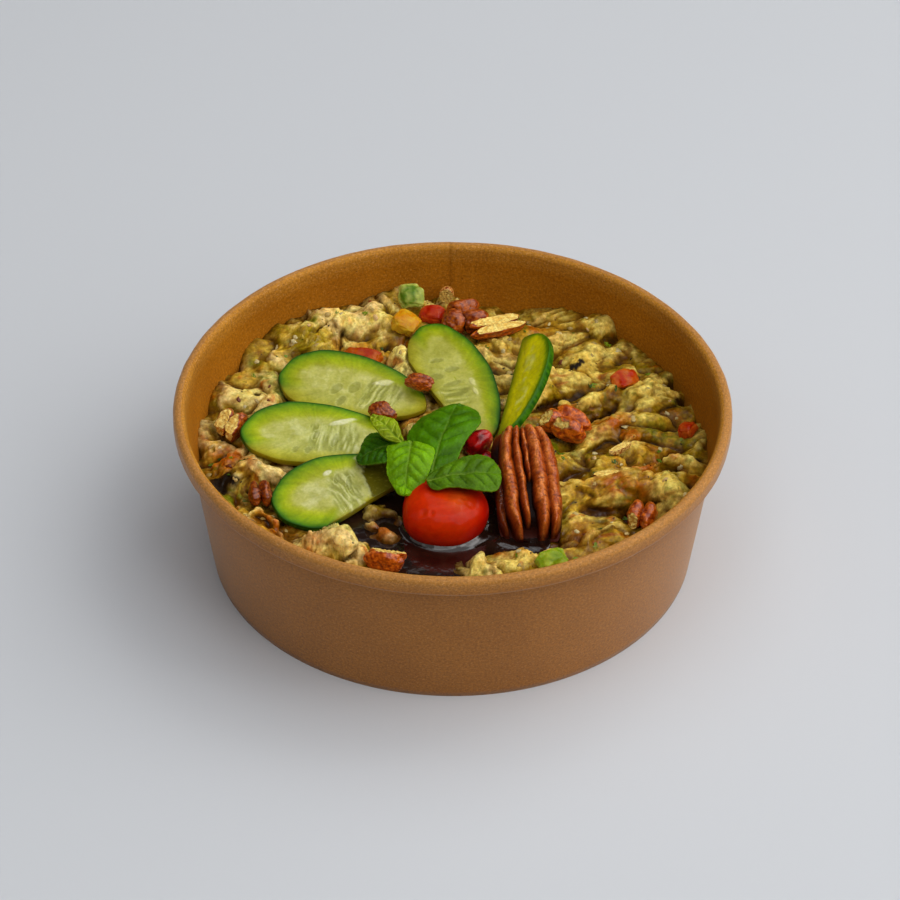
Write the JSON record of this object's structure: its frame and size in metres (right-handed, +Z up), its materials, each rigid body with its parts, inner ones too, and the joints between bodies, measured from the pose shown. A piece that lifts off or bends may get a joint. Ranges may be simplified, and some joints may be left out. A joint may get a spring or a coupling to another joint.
{
  "type": "baba ganoush in a paper bowl",
  "caption": "Chunky aubergine dip in a round kraft-paper bowl, topped with cucumber slices, mint, half a tomato, pecans and a pool of molasses.",
  "frame": {"origin": "centre of the circle on which the bowl's hem rests", "axes": "+Z up out of the bowl, -Y towards the tomato and its pool of molasses"},
  "size_m": [0.15, 0.15, 0.0471],
  "materials": {
    "kraft_board": "unbleached kraft board, finely speckled, satin inside",
    "aubergine_dip": "wet chunky puree of roasted aubergine with oil and herbs",
    "molasses": "dark glossy syrup",
    "tomato": "smooth shiny tomato skin",
    "cucumber": "wet cut flesh with seeds and dark green skin",
    "mint": "fresh veined leaf",
    "pecan": "wrinkled brown nut skin, pale where broken",
    "pomegranate": "wet translucent seed",
    "green_pepper": "glossy green pepper",
    "yellow_pepper": "glossy yellow pepper",
    "red_pepper": "glossy red pepper"
  },
  "bodies": {
    "root": {"bowl_wall": "kraft_board", "bowl_base": "kraft_board", "dip": "aubergine_dip", "molasses_pool": "molasses", "tomato_half": "tomato", "cucumber_slice_1": "cucumber", "cucumber_slice_2": "cucumber", "cucumber_slice_3": "cucumber", "cucumber_slice_4": "cucumber", "cucumber_slice_5": "cucumber", "mint_leaf_1": "mint", "mint_leaf_2": "mint", "mint_leaf_3": "mint", "mint_leaf_4": "mint", "mint_leaf_5": "mint", "mint_stem": "mint", "pecan_half": "pecan", "pecan_piece_1": "pecan", "pecan_piece_2": "pecan", "pecan_piece_3": "pecan", "pecan_piece_4": "pecan", "pecan_piece_5": "pecan", "pecan_piece_6": "pecan", "pecan_piece_7": "pecan", "pecan_piece_8": "pecan", "pecan_piece_9": "pecan", "pecan_piece_10": "pecan", "pecan_piece_11": "pecan", "pecan_piece_12": "pecan", "pomegranate_aril_1": "pomegranate", "pomegranate_aril_2": "pomegranate", "pepper_green_1": "green_pepper", "pepper_green_2": "green_pepper", "pepper_yellow_1": "yellow_pepper", "pepper_red_1": "red_pepper", "pepper_red_2": "red_pepper", "pepper_red_3": "red_pepper", "pepper_red_4": "red_pepper"}
  },
  "joints": []
}
